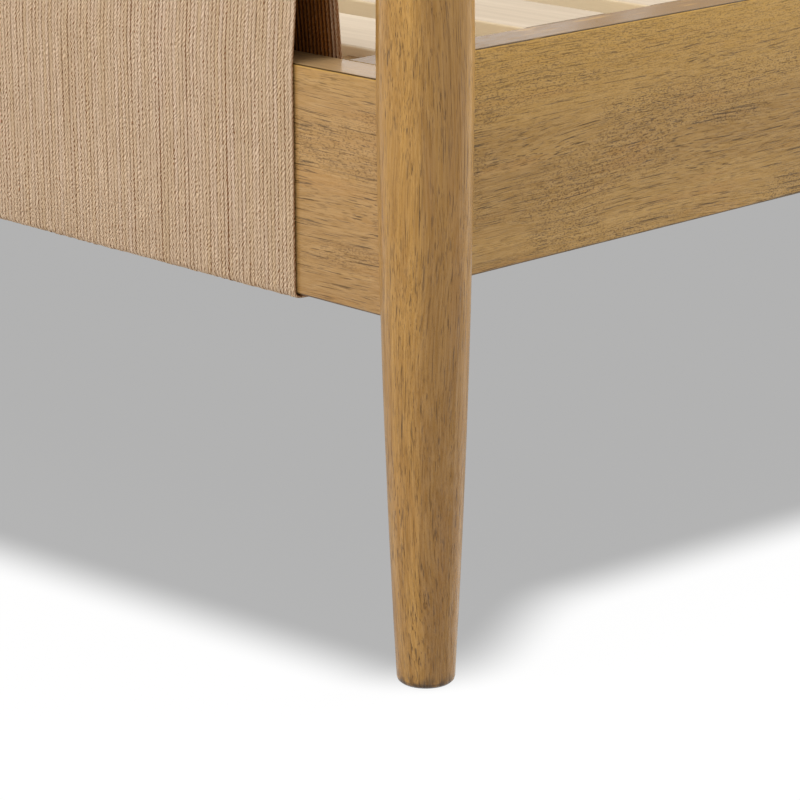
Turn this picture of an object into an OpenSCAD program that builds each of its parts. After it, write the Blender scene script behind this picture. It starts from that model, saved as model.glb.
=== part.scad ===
// Rope bed: a wooden bed frame with turned posts, whose foot and head ends are
// panels of cord wound round a bottom rail and a thinner top rail.
// Millimetres, +Z up, +Y towards the head end. The origin is on the floor,
// under the middle of the bed.

/* [Mattress] */
// Width of the mattress
mattress_w = 1524; // [900:1:1830]
// Length of the mattress
mattress_l = 2032; // [1880:1:2130]
// Room between the mattress and each side rail
side_room = 8; // [2:1:20]
// Room between the mattress and each end rail
end_room = 9; // [6:1:30]

/* [Posts] */
// Largest diameter of a post
post_d = 64.7; // [56:0.1:80]
// Height of that largest diameter above the floor
belly_z = 440; // [420:1:480]
// Diameter of a post just above its rounded foot
foot_d = 40; // [36:0.5:60]
// Diameter of a post just below its rounded top
post_top_d = 54; // [40:0.5:60]
// How the taper bends: 1 is a straight cone, 2 a parabola
taper_bend = 1.87; // [1:0.01:2.5]
// Radius of the rounded foot
foot_round = 4; // [1:0.5:8]
// Radius of the rounded top
top_round = 9; // [2:0.5:14]
// Height of the foot posts
foot_post_h = 610; // [600:1:760]
// Height of the head posts
head_post_h = 1100; // [1080:1:1300]

/* [Rails] */
// Height of the side rails and of the bottom end rails
rail_h = 160; // [130:1:190]
// Thickness of these rails
rail_t = 35; // [30:0.5:40]
// Height of their lower edge above the floor
rail_z = 258; // [220:1:280]
// Radius of the eased edges of the rails
edge_r = 2; // [1:0.5:3]
// Distance from a post's axis to the outer face of the side rail
side_inset = 57.2; // [46:0.1:64]
// Thickness of the top end rails
top_rail_t = 20; // [18:0.5:26]
// Height of the section of the top end rails
top_rail_h = 50; // [40:1:60]
// Radius of the upper edges of the top end rails
top_rail_r = 8; // [3:0.5:8.5]
// Open height between the two rails of the foot end
foot_gap_h = 100; // [60:1:120]
// Open height between the two rails of the head end
head_gap_h = 582; // [300:1:590]
// Gap between a rail's hollowed end and the post
cope_gap = 0.1; // [0.05:0.05:0.3]

/* [Dowels] */
// Diameter of the dowels of the bottom rails
dowel_d = 12; // [8:1:14]
// Length of these dowels
dowel_l = 60; // [50:1:62]
// Distance between the two dowels of a bottom rail
dowel_step = 90; // [60:1:100]
// Diameter of the dowels of the top rails
top_dowel_d = 8; // [6:0.5:10]
// Length of these dowels
top_dowel_l = 50; // [40:1:60]
// Distance between the two dowels of a top rail
top_dowel_step = 24; // [14:1:28]
// Depth of a dowel in the post
dowel_in_post = 28; // [20:1:34]
// Clearance round dowels, screws and bolts
fit = 0.1; // [0.05:0.05:0.2]

/* [Cord] */
// Diameter of the cord
cord_d = 3.75; // [3:0.05:5]
// Distance from a post's axis to the edge of the winding
wrap_inset = 102.7; // [96:0.1:160]
// Gap between the cord and the rails under it
cord_seat = 0.1; // [0.05:0.05:0.3]
// Turns of cord that are drawn out, at the right end of each panel
drawn_turns = 16; // [4:1:16]
// Gap between these turns
turn_gap = 0.5; // [0.45:0.05:1]

/* [Slats] */
// Number of slats
slat_count = 15; // [10:1:15]
// Width of a slat
slat_w = 87; // [60:1:95]
// Thickness of a slat
slat_t = 19; // [16:0.5:24]
// Distance from the end rail to the first slat
slat_margin = 41; // [36:1:70]
// How far the slats lie below the top of the rails
slat_drop = 0.5; // [0:0.5:6]
// Gap between a slat's end and the side rail
slat_end_gap = 2; // [0.5:0.5:6]
// Width of the straps that join the slats
strap_w = 25; // [15:1:40]
// Thickness of the straps
strap_t = 1.5; // [1:0.1:2.5]
// Distance from the slats' ends to the middle of a strap
strap_inset = 250; // [100:1:330]

/* [Ledgers and blocks] */
// Width of the ledgers under the slats
ledger_w = 25; // [20:1:35]
// Height of the ledgers
ledger_h = 30; // [20:1:45]
// Screws in each ledger
ledger_screws_n = 8; // [4:1:12]
// Width of the corner blocks, away from the side rail
block_w = 44; // [30:1:60]
// Height of the corner blocks
block_h = 140; // [110:1:145]
// How far the blocks' tops lie below the top of the rails
block_drop = 8; // [3:0.5:14]
// Distance between the two screws of a block
block_screw_step = 56; // [30:1:70]

/* [Side rail joints] */
// Thickness of the steel plates
plate_t = 3; // [2:0.5:4]
// Width of the steel plates
plate_w = 22; // [18:0.5:24]
// Height of the steel plates
plate_h = 124; // [116:1:128]
// Distance between the two hooks of a plate
hook_step = 50; // [44:1:60]
// Height of a hook where it passes through the slot
hook_h = 18; // [12:1:20]
// How far a hook reaches down behind the slotted plate
hook_drop = 8; // [4:1:10]
// Depth of the pocket behind the slotted plate
pocket_d = 9; // [7:0.5:12]

/* [Centre beam] */
// Width of the beam under the slats
beam_w = 38; // [30:1:60]
// Height of the beam
beam_h = 64; // [50:1:90]
// Thickness of the steel of its hangers
hanger_t = 2.5; // [1.5:0.5:4]
// Depth of the hangers along the beam
hanger_l = 50; // [30:1:70]
// Width of the hangers' back plates
hanger_w = 92; // [86:1:120]
// Distance of each leg from the middle of the bed
leg_y = 330; // [150:1:600]
// Width of the legs, which are square
leg_w = 45; // [35:1:60]
// Length of the bolts between legs and beam
leg_bolt_l = 70; // [50:1:90]

/* [Glides and screws] */
// Diameter of the glides under the posts
glide_d = 28; // [20:1:30]
// Thickness of these glides
glide_t = 3; // [2:0.5:5]
// How far they stand out of the posts
glide_out = 0.6; // [0.3:0.1:1.5]
// Thickness of the glides under the centre legs
leg_glide_t = 4; // [3:0.5:8]
// Diameter of the screws
screw_d = 4.5; // [3.5:0.5:5]
// Diameter of the strap screws
strap_screw_d = 3; // [2:0.5:3.5]

/* [Hidden] */
post_x = mattress_w / 2 + side_room + rail_t + side_inset;
post_y = mattress_l / 2 + end_room + rail_t / 2;
inner_x = post_x - side_inset - rail_t;
inner_y = post_y - rail_t / 2;
rail_top = rail_z + rail_h;
rail_mid = rail_z + rail_h / 2;
foot_top_z = rail_top + foot_gap_h;
head_top_z = rail_top + head_gap_h;
slat_top = rail_top - slat_drop;
slat_z = slat_top - slat_t;
slat_l = 2 * (inner_x - slat_end_gap);
slat_pitch = (2 * (inner_y - slat_margin) - slat_w) / (slat_count - 1);
strap_x = slat_l / 2 - strap_inset;
wrap_x = post_x - wrap_inset;
layer_t = cord_seat + cord_d;
turn_pitch = cord_d + turn_gap;
band_x = wrap_x - drawn_turns * turn_pitch;
block_clear = 0.6;
block_near = layer_t + block_clear;
block_far = slat_margin - 0.5;
plate_x = inner_x + rail_t / 2;
hook_t = 3;
hook_lip_t = 4;
slot_room = 0.5;
pocket_room = 4;
beam_z = slat_z - beam_h;
hanger_room = 0.3;
hanger_drop = 10;
beam_end_gap = 1;
hanger_screw_x = (hanger_w / 2 + beam_w / 2 + hanger_t) / 2;
hanger_screw_step = 36;
hanger_screw_l = 32;
leg_bolt_d = 8;
screw_bite = 22;
block_screw_l = block_w + screw_bite;
ledger_screw_l = ledger_w + screw_bite;
slat_screw_l = slat_t + screw_bite;
hook_screw_l = 40;
receiver_screw_l = 24;
strap_screw_l = 13;
plate_screw_edge = 10;
screw_step = plate_h - 2 * plate_screw_edge;
spigot_d = 6;
spigot_l = 12;
leg_glide_edge = 4;
cord_start_edge = 1;
// how far a cut runs past the face that it opens
past = 1;
stain = "#b98a50";
pine = "#dccbae";
cord_tan = "#c8ab88";
steel = "#9a9a98";

function slat_name(i) = str("slat_", i < 10 ? "0" : "", i);

// ---------- frames and small parts ----------

// The foot end as it stands (-1), or the same thing turned to the head end (1).
// Inside, y = 0 is the posts' axis and +y points into the bed.
module at_end(end) {
    translate([0, end * post_y, 0]) mirror([0, end > 0 ? 1 : 0, 0]) children();
}

// The right side (1) as drawn, or its mirror image on the left (-1).
module at_side(side) {
    mirror([side < 0 ? 1 : 0, 0, 0]) children();
}

// A board's section with eased edges, standing on y = 0.
module eased(w, h, r) {
    translate([-w / 2 + r, 0]) square([w - 2 * r, h]);
    translate([-w / 2, r]) square([w, h - 2 * r]);
    for (x = [-w / 2 + r, w / 2 - r], y = [r, h - r])
        translate([x, y]) circle(r = r, $fn = 24);
}

// Boards along X and along Y, centred on their length.
module board_x(l, w, h, r) {
    rotate([90, 0, 90]) linear_extrude(l, center = true) eased(w, h, r);
}
module board_y(l, w, h, r) {
    rotate([90, 0, 0]) linear_extrude(l, center = true) eased(w, h, r);
}

// A countersunk wood screw, head up, its face at z = 0.
module screw(d, l) {
    translate([0, 0, -d / 2]) cylinder(h = d / 2, r1 = d / 2, r2 = d, $fn = 32);
    translate([0, 0, d - l]) cylinder(h = l - 1.5 * d, r = d / 2, $fn = 32);
    translate([0, 0, -l]) cylinder(h = d, r1 = d / 8, r2 = d / 2, $fn = 32);
}
module screw_hole(d, l) {
    translate([0, 0, fit]) screw(d + 2 * fit, l + 3 * fit);
}

// A screw, or the hole for it, that goes along +x, -x, +y or -y.
module along_x(way) { rotate([0, -90 * way, 0]) children(); }
module along_y(way) { rotate([90 * way, 0, 0]) children(); }

// ---------- posts ----------

function post_r(z, h) = z < belly_z
    ? (post_d - (post_d - foot_d) * pow((belly_z - z) / belly_z, taper_bend)) / 2
    : (post_d - (post_d - post_top_d) * pow((z - belly_z) / (h - belly_z), taper_bend)) / 2;

// Half outline of a post from the foot's rounding, along the taper, to the top's.
function post_outline(h, grow) = let (
    lo = glide_out + foot_round,
    hi = h - top_round,
    lower = 10,
    upper = 6)
    concat(
        [[0, glide_out]],
        [for (a = [0 : 30 : 60]) [post_r(lo, h) + grow - foot_round * (1 - sin(a)),
                                  lo - foot_round * cos(a)]],
        [for (i = [0 : lower]) let (z = lo + (belly_z - lo) * i / lower)
            [post_r(z, h) + grow, z]],
        [for (i = [1 : upper]) let (z = belly_z + (hi - belly_z) * i / upper)
            [post_r(z, h) + grow, z]],
        [for (a = [15 : 15 : 90]) [post_r(hi, h) + grow - top_round * (1 - cos(a)),
                                   hi + top_round * sin(a)]],
        [[0, h]]);

module post_shape(h, grow = 0) {
    rotate_extrude($fn = 96) polygon(post_outline(h, grow));
}

// A post on its axis, with the dowel holes of its two rails facing -x.
module post(h, top_z) {
    color(stain) difference() {
        post_shape(h);
        translate([-post_x, 0, 0]) rail_dowels(h, top_z, fit);
        translate([0, 0, -past]) cylinder(h = past + glide_t + fit, r = glide_d / 2 + fit, $fn = 64);
    }
}

// The four dowels of one post: two in the bottom rail and two in the top rail.
module rail_dowels(h, top_z, grow) {
    bottom_x = post_x - post_r(rail_mid, h) + dowel_in_post - dowel_l;
    top_mid = top_z + top_rail_h / 2;
    top_x = post_x - post_r(top_mid, h) + dowel_in_post - top_dowel_l;
    for (s = [-1, 1]) {
        translate([bottom_x - grow, 0, rail_mid + s * dowel_step / 2]) rotate([0, 90, 0])
            cylinder(h = dowel_l + 2 * grow, r = dowel_d / 2 + grow, $fn = 48);
        translate([top_x - grow, 0, top_mid + s * top_dowel_step / 2]) rotate([0, 90, 0])
            cylinder(h = top_dowel_l + 2 * grow, r = top_dowel_d / 2 + grow, $fn = 48);
    }
}

module dowels(h, top_z) {
    color("#d8bd8c") for (side = [-1, 1]) at_side(side) rail_dowels(h, top_z, 0);
}

module glides() {
    color("#4a4a4a") for (end = [-1, 1], side = [-1, 1]) at_end(end) at_side(side)
        translate([post_x, 0, 0]) cylinder(h = glide_t, r = glide_d / 2, $fn = 64);
}

// ---------- end rails ----------

// What both end rails lose: the posts' shapes, and the holes of their dowels.
module post_cuts(h, top_z) {
    for (side = [-1, 1]) at_side(side) {
        translate([post_x, 0, 0]) post_shape(h, cope_gap);
        rail_dowels(h, top_z, fit);
    }
}

module bottom_rail(h, top_z) {
    color(stain) difference() {
        translate([0, 0, rail_z]) board_x(2 * post_x - foot_d / 2, rail_t, rail_h, edge_r);
        post_cuts(h, top_z);
        for (side = [-1, 1]) at_side(side) {
            receiver_cut();
            receiver_fasteners(true);
        }
        hanger_fasteners(true);
    }
}

module top_rail(h, top_z) {
    color(stain) difference() {
        translate([0, 0, top_z]) rotate([90, 0, 90])
            linear_extrude(2 * post_x - foot_d / 2, center = true) top_section();
        post_cuts(h, top_z);
    }
}

module top_section() {
    w = top_rail_t;
    h = top_rail_h;
    r = top_rail_r;
    translate([-w / 2, edge_r]) square([w, h - r - edge_r]);
    translate([-w / 2 + edge_r, 0]) square([w - 2 * edge_r, edge_r * 2]);
    translate([-w / 2 + r, h / 2]) square([w - 2 * r, h / 2]);
    for (s = [-1, 1]) {
        translate([s * (w / 2 - edge_r), edge_r]) circle(r = edge_r, $fn = 24);
        translate([s * (w / 2 - r), h - r]) circle(r = r, $fn = 32);
    }
}

// ---------- the winding ----------

function arc(y, z, r, from, to, n) = [for (i = [0 : n]) let (a = from + (to - from) * i / n)
    [y + r * cos(a), z + r * sin(a)]];

// One turn in the y-z plane, o outside the rails: its stretches up the inner side
// and over the top rail to the outer side, and round the bottom rail's lower edges.
// Each bend has n steps.
function over_part(o, top_z, n) = concat(
    [[top_rail_t / 2 + o, top_z + edge_r]],
    arc(top_rail_t / 2 - top_rail_r, top_z + top_rail_h - top_rail_r, top_rail_r + o, 0, 90, n),
    arc(top_rail_r - top_rail_t / 2, top_z + top_rail_h - top_rail_r, top_rail_r + o, 90, 180, n),
    [[-top_rail_t / 2 - o, top_z + edge_r], [-rail_t / 2 - o, rail_top - edge_r]],
    arc(edge_r - rail_t / 2, rail_z + edge_r, edge_r + o, 180, 270, n));
function under_part(o, n) = concat(
    arc(rail_t / 2 - edge_r, rail_z + edge_r, edge_r + o, -90, 0, n),
    [[rail_t / 2 + o, rail_top - edge_r]]);

// The wound layers as one closed band, o thick measured from the rails.
module band_section(o, top_z) {
    polygon(concat(over_part(o, top_z, 10), under_part(o, 10)));
}

tail_y = -rail_t / 2 + edge_r + 0.2 * (rail_t - 2 * edge_r);
tail_r = 6;
tail_x = wrap_x - cord_d / 2 - (drawn_turns - 0.8) * turn_pitch - tail_r;
tail_end_x = tail_x - cord_d;

module cord_wrap(top_z) {
    color(cord_tan) difference() {
        translate([-wrap_x, 0, 0]) rotate([90, 0, 90]) linear_extrude(wrap_x + band_x)
            difference() {
                band_section(layer_t, top_z);
                band_section(cord_seat, top_z);
            }
        // a notch under the rail, where the drawn cord's end meets the band
        translate([tail_end_x - cord_seat, tail_y - cord_d / 2 - turn_gap, rail_z - 2 * layer_t])
            cube([band_x - tail_end_x + past, tail_r + cord_d + 2 * turn_gap, 2 * layer_t]);
        hanger_fasteners(true);
    }
}

function at_x(x, pts) = [for (p = pts) [x, p[0], p[1]]];
function turn_x(k) = wrap_x - cord_d / 2 - k * turn_pitch;

// The cord's centre line: it stands on the bottom rail between the two layers, goes
// up the inner side, winds, and ends under the bottom rail, square to the band.
function cord_line(top_z) = let (
    o = cord_seat + cord_d / 2,
    start_y = rail_t / 2 - cord_d / 2 - cord_start_edge,
    z = rail_z - o)
    concat(
        [for (h = [0, cord_d, 2 * cord_d]) [turn_x(0), start_y, rail_top + cord_seat + h]],
        [for (k = [0 : drawn_turns - 1]) each concat(
            at_x(turn_x(k), over_part(o, top_z, 3)),
            k == drawn_turns - 1 ? [] : concat(
                [[turn_x(k + 0.5), 0, z]],
                at_x(turn_x(k + 1), under_part(o, 3))))],
        [for (a = [0 : 22.5 : 90])
            [tail_x + tail_r * cos(a), tail_y + tail_r * sin(a), z]],
        [[tail_end_x, tail_y + tail_r, z]]);

function unit(v) = v / norm(v);
function flat(v, t) = unit(v - (v * t) * t);

// A tube of n sides along the points p, its rings turned as little as can be.
module tube(p, r, n) {
    m = len(p);
    way = [for (i = [0 : m - 1]) unit(p[min(i + 1, m - 1)] - p[max(i - 1, 0)])];
    side = [for (i = 0, u = [1, 0, 0]; i < m; i = i + 1, u = i < m ? flat(u, way[i]) : u) u];
    rings = [for (i = [0 : m - 1], j = [0 : n - 1]) let (a = 360 * j / n)
        p[i] + r * (cos(a) * side[i] + sin(a) * cross(way[i], side[i]))];
    polyhedron(rings, concat(
        [for (i = [0 : m - 2], j = [0 : n - 1], half = [0, 1]) let (
            a = i * n + j, b = i * n + (j + 1) % n)
            half == 0 ? [a, b + n, b] : [a, a + n, b + n]],
        [for (j = [1 : n - 2]) [0, j, j + 1]],
        [for (j = [1 : n - 2]) [(m - 1) * n, (m - 1) * n + j + 1, (m - 1) * n + j]]));
}

function to_line(q, a, b) = let (t = max(0, min(1, (q - a) * (b - a) / ((b - a) * (b - a)))))
    norm(q - a - t * (b - a));

module cord_turns(top_z, name) {
    p = cord_line(top_z);
    least = min([for (i = [0 : len(p) - 8], j = [i + 6 : len(p) - 2])
        to_line(p[i], p[j], p[j + 1])]);
    echo(str(name, ": least gap of the cord to itself is ", least - cord_d, " mm"));
    color(cord_tan) tube(p, cord_d / 2, 6);
}

// ---------- side rails and their joints ----------

// The pocket for a slotted plate in an end rail's inner face, and for the hooks.
module receiver_cut() {
    translate([plate_x - plate_w / 2 - fit, rail_t / 2 - plate_t, rail_mid - plate_h / 2 - fit])
        cube([plate_w + 2 * fit, plate_t + past, plate_h + 2 * fit]);
    translate([plate_x - plate_w / 4, rail_t / 2 - plate_t - pocket_d,
               rail_mid - hook_step / 2 - hook_h / 2 - hook_drop - pocket_room])
        cube([plate_w / 2, pocket_d + past,
              hook_step + hook_h + 2 * (hook_drop + pocket_room)]);
}

module receiver_fasteners(hole) {
    for (s = [-1, 1]) translate([plate_x, rail_t / 2, rail_mid + s * screw_step / 2])
        along_y(-1) if (hole) screw_hole(screw_d, receiver_screw_l);
        else screw(screw_d, receiver_screw_l);
}

// Slots in the plate, as high as a hook and its drop need.
module receiver_plate() {
    slot_w = hook_t + 2 * slot_room;
    difference() {
        translate([plate_x - plate_w / 2, rail_t / 2 - plate_t, rail_mid - plate_h / 2])
            cube([plate_w, plate_t, plate_h]);
        for (s = [-1, 1])
            translate([plate_x - slot_w / 2, rail_t / 2 - plate_t - past,
                       rail_mid + s * hook_step / 2 - hook_h / 2])
                cube([slot_w, plate_t + 2 * past, hook_h + hook_drop + slot_room]);
        receiver_fasteners(true);
    }
}

// The plate in the side rail's end, with two hooks that reach through the slots.
module hook_plate() {
    back = rail_t / 2 - plate_t - slot_room - hook_lip_t;
    difference() {
        translate([plate_x - plate_w / 2, rail_t / 2, rail_mid - plate_h / 2])
            cube([plate_w, plate_t, plate_h]);
        hook_fasteners(true);
    }
    for (s = [-1, 1]) {
        translate([plate_x - hook_t / 2, back, rail_mid + s * hook_step / 2 - hook_h / 2])
            cube([hook_t, rail_t / 2 - back, hook_h]);
        translate([plate_x - hook_t / 2, back,
                   rail_mid + s * hook_step / 2 - hook_h / 2 - hook_drop])
            cube([hook_t, hook_lip_t, hook_drop]);
    }
}

module hook_fasteners(hole) {
    for (s = [-1, 1]) translate([plate_x, rail_t / 2, rail_mid + s * screw_step / 2])
        along_y(1) if (hole) screw_hole(screw_d, hook_screw_l);
        else screw(screw_d, hook_screw_l);
}

module side_rail() {
    color(stain) difference() {
        translate([plate_x, 0, rail_z]) board_y(2 * inner_y, rail_t, rail_h, edge_r);
        for (end = [-1, 1]) at_end(end) {
            translate([plate_x - plate_w / 2 - fit, rail_t / 2 - past, rail_mid - plate_h / 2 - fit])
                cube([plate_w + 2 * fit, plate_t + past, plate_h + 2 * fit]);
            hook_fasteners(true);
            block_fasteners(true);
        }
        ledger_fasteners(true);
    }
}

// ---------- ledgers and corner blocks ----------

ledger_l = 2 * (inner_y - slat_margin);

module ledger() {
    color(pine) difference() {
        translate([inner_x - ledger_w / 2, 0, slat_z - ledger_h])
            board_y(ledger_l, ledger_w, ledger_h, edge_r);
        ledger_fasteners(true);
        for (end = [-1, 1]) at_end(end) slat_fasteners(true);
    }
}

module ledger_fasteners(hole) {
    step = ledger_l / ledger_screws_n;
    for (i = [0 : ledger_screws_n - 1])
        translate([inner_x - ledger_w, (i + 0.5) * step - ledger_l / 2, slat_z - ledger_h / 2])
            along_x(1) if (hole) screw_hole(screw_d, ledger_screw_l);
            else screw(screw_d, ledger_screw_l);
}

module corner_block() {
    color(stain) difference() {
        translate([inner_x - block_w / 2, rail_t / 2 + (block_near + block_far) / 2,
                   rail_top - block_drop - block_h])
            board_y(block_far - block_near, block_w, block_h, edge_r);
        block_fasteners(true);
    }
}

module block_fasteners(hole) {
    for (s = [-1, 1])
        translate([inner_x - block_w, rail_t / 2 + (block_near + block_far) / 2,
                   rail_mid + s * block_screw_step / 2])
            along_x(1) if (hole) screw_hole(screw_d, block_screw_l);
            else screw(screw_d, block_screw_l);
}

// ---------- slats and straps ----------

function slat_y(i) = -inner_y + slat_margin + slat_w / 2 + (i - 1) * slat_pitch;

module slat(i) {
    color(pine) difference() {
        translate([0, slat_y(i), slat_z]) board_x(slat_l, slat_w, slat_t, edge_r);
        for (side = [-1, 1]) at_side(side) {
            strap_fastener(i, true);
            if (i == 1) at_end(-1) slat_fasteners(true);
            if (i == slat_count) at_end(1) slat_fasteners(true);
        }
    }
}

// The screw at each end of the first and the last slat, seen from that end.
module slat_fasteners(hole) {
    translate([inner_x - ledger_w / 2, rail_t / 2 + slat_margin + slat_w / 2, slat_top])
        if (hole) screw_hole(screw_d, slat_screw_l);
        else screw(screw_d, slat_screw_l);
}

module strap_fastener(i, hole) {
    translate([strap_x, slat_y(i), slat_z - strap_t]) mirror([0, 0, 1])
        if (hole) screw_hole(strap_screw_d, strap_screw_l);
        else screw(strap_screw_d, strap_screw_l);
}

module slat_strap() {
    color("#e8e4da") difference() {
        translate([strap_x - strap_w / 2, -inner_y + slat_margin + edge_r, slat_z - strap_t])
            cube([strap_w, 2 * (inner_y - slat_margin - edge_r), strap_t]);
        for (i = [1 : slat_count]) strap_fastener(i, true);
    }
}

// ---------- centre beam, hangers and legs ----------

// The hangers stand on the cord layer, with screws that pass between its strands.
hanger_y = rail_t / 2 + layer_t + fit;
beam_end = inner_y - layer_t - fit - hanger_t - beam_end_gap;

module centre_beam() {
    color(pine) difference() {
        translate([0, 0, beam_z]) board_y(2 * beam_end, beam_w, beam_h, edge_r);
        leg_fasteners(fit);
    }
}

module beam_hanger() {
    pocket_w = beam_w + 2 * hanger_room;
    pocket_z = beam_z - hanger_room;
    side_h = beam_h - hanger_drop;
    color(steel) difference() {
        union() {
            translate([-hanger_w / 2, hanger_y, pocket_z - hanger_t])
                cube([hanger_w, hanger_t, side_h + hanger_t]);
            translate([-pocket_w / 2 - hanger_t, hanger_y, pocket_z - hanger_t])
                cube([pocket_w + 2 * hanger_t, hanger_l, side_h + hanger_t]);
        }
        translate([-pocket_w / 2, hanger_y + hanger_t, pocket_z])
            cube([pocket_w, hanger_l, side_h + past]);
        hanger_fasteners(true);
    }
}

module hanger_fasteners(hole) {
    mid_z = beam_z + (beam_h - hanger_drop) / 2;
    for (s = [-1, 1], t = [-1, 1])
        translate([s * hanger_screw_x, hanger_y + hanger_t, mid_z + t * hanger_screw_step / 2])
            along_y(-1) if (hole) screw_hole(screw_d, hanger_screw_l);
            else screw(screw_d, hanger_screw_l);
}

module leg_fasteners(grow) {
    for (s = [-1, 1]) translate([0, s * leg_y, beam_z - leg_bolt_l / 2 - grow])
        cylinder(h = leg_bolt_l + 2 * grow, r = leg_bolt_d / 2 + grow, $fn = 32);
}

// A square leg, with the hole of its bolt above and of its glide's spigot below.
module centre_leg(s) {
    color(stain) difference() {
        translate([0, s * leg_y, leg_glide_t]) linear_extrude(beam_z - leg_glide_t)
            translate([0, -leg_w / 2]) eased(leg_w, leg_w, edge_r);
        leg_fasteners(fit);
        translate([0, s * leg_y, 0])
            cylinder(h = leg_glide_t + spigot_l + fit, r = spigot_d / 2 + fit, $fn = 32);
    }
}

module leg_glides() {
    color("#4a4a4a") for (s = [-1, 1]) translate([0, s * leg_y, 0]) {
        cylinder(h = leg_glide_t, r = leg_w / 2 - leg_glide_edge, $fn = 48);
        cylinder(h = leg_glide_t + spigot_l, r = spigot_d / 2, $fn = 32);
    }
}

// ---------- drawing ----------

at_end(-1) at_side(-1) translate([post_x, 0, 0]) post(foot_post_h, foot_top_z);  // foot_post_left
at_end(-1) at_side(1) translate([post_x, 0, 0]) post(foot_post_h, foot_top_z);  // foot_post_right
at_end(1) at_side(-1) translate([post_x, 0, 0]) post(head_post_h, head_top_z);  // head_post_left
at_end(1) at_side(1) translate([post_x, 0, 0]) post(head_post_h, head_top_z);  // head_post_right
at_end(-1) bottom_rail(foot_post_h, foot_top_z);  // foot_bottom_rail
at_end(-1) top_rail(foot_post_h, foot_top_z);  // foot_top_rail
at_end(1) bottom_rail(head_post_h, head_top_z);  // head_bottom_rail
at_end(1) top_rail(head_post_h, head_top_z);  // head_top_rail
at_end(-1) dowels(foot_post_h, foot_top_z);  // foot_dowels
at_end(1) dowels(head_post_h, head_top_z);  // head_dowels
at_end(-1) cord_wrap(foot_top_z);  // foot_cord_wrap
at_end(-1) cord_turns(foot_top_z, "foot");  // foot_cord_turns
at_end(1) cord_wrap(head_top_z);  // head_cord_wrap
at_end(1) cord_turns(head_top_z, "head");  // head_cord_turns
at_side(-1) side_rail();  // side_rail_left
at_side(1) side_rail();  // side_rail_right
color(steel) for (end = [-1, 1], side = [-1, 1]) at_end(end) at_side(side) hook_plate();  // hook_plates
color(steel) for (end = [-1, 1], side = [-1, 1]) at_end(end) at_side(side)  // hook_plate_screws
        hook_fasteners(false);
color(steel) for (end = [-1, 1], side = [-1, 1]) at_end(end) at_side(side)  // receiver_plates
        receiver_plate();
color(steel) for (end = [-1, 1], side = [-1, 1]) at_end(end) at_side(side)  // receiver_screws
        receiver_fasteners(false);
at_side(-1) ledger();  // slat_ledger_left
at_side(1) ledger();  // slat_ledger_right
color(steel) for (side = [-1, 1]) at_side(side) ledger_fasteners(false);  // ledger_screws
at_end(-1) at_side(-1) corner_block();  // corner_block_foot_left
at_end(-1) at_side(1) corner_block();  // corner_block_foot_right
at_end(1) at_side(-1) corner_block();  // corner_block_head_left
at_end(1) at_side(1) corner_block();  // corner_block_head_right
color(steel) for (end = [-1, 1], side = [-1, 1]) at_end(end) at_side(side)  // block_screws
        block_fasteners(false);
for (i = [1 : slat_count]) slat(i);
color(steel) for (end = [-1, 1], side = [-1, 1]) at_end(end) at_side(side)  // slat_screws
        slat_fasteners(false);
at_side(-1) slat_strap();  // slat_strap_left
at_side(1) slat_strap();  // slat_strap_right
color(steel) for (side = [-1, 1], i = [1 : slat_count]) at_side(side)  // strap_screws
        strap_fastener(i, false);
centre_beam();
at_end(-1) beam_hanger();  // beam_hanger_foot
at_end(1) beam_hanger();  // beam_hanger_head
color(steel) for (end = [-1, 1]) at_end(end) hanger_fasteners(false);  // hanger_screws
centre_leg(-1);  // centre_leg_foot
centre_leg(1);  // centre_leg_head
color(steel) leg_fasteners(0);  // leg_bolts
leg_glides();
glides();  // post_glides
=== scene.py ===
# %% [markdown]
# # A rope bed
# This bed frame is stained hardwood. Its four posts are turned on a lathe, its rails are planed
# boards, and at the foot and at the head one long cord is wound round a bottom rail and a thinner
# top rail. The exact wooden and steel pieces come from a imported model, the frame that this scene
# dresses. Nothing in it is moved or resized. The scene adds finishes, and soft pieces that are too
# fine for a construction model.

# %% The frame
import math

import bpy
import numpy as np
from mathutils import Matrix, Vector


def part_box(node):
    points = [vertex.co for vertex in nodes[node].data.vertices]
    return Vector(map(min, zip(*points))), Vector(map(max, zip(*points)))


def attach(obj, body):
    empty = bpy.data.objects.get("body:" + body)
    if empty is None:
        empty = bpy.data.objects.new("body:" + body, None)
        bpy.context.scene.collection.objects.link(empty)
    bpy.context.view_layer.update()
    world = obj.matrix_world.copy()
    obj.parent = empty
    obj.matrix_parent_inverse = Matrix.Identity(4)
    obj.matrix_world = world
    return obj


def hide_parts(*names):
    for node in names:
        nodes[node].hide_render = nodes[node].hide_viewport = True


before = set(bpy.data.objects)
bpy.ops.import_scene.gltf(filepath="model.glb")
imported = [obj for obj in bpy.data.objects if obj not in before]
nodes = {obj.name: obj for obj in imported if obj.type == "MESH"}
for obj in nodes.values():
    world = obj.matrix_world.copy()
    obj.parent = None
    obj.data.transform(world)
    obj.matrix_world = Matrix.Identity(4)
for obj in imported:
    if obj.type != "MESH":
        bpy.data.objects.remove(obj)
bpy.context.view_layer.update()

# %% [markdown]
# ## Camera
# The photograph looks down at one corner of the bed through a long lens, from the right of the
# foot end. A camera is three unit vectors and a place. With azimuth a, which turns it round the
# object, and elevation e, the vector back to the camera is (sin a cos e, -cos a cos e, sin e).

# %% The camera
MM = 0.001  # one millimetre in metres
AZIMUTH = math.radians(45.75)
ELEVATION = math.radians(16.71)
ROLL = math.radians(-0.2)  # the photograph is not quite level
LENS = 140.7  # focal length in mm on a sensor 36 mm wide
DISTANCE = 2095.7 * MM  # from the camera to the plane of the corner post's axis
AIM_HEIGHT = 201.6 * MM  # height on that post at the middle of the picture
AIM_LEFT = 17.2 * MM  # how far left of the post's axis the camera looks

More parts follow.
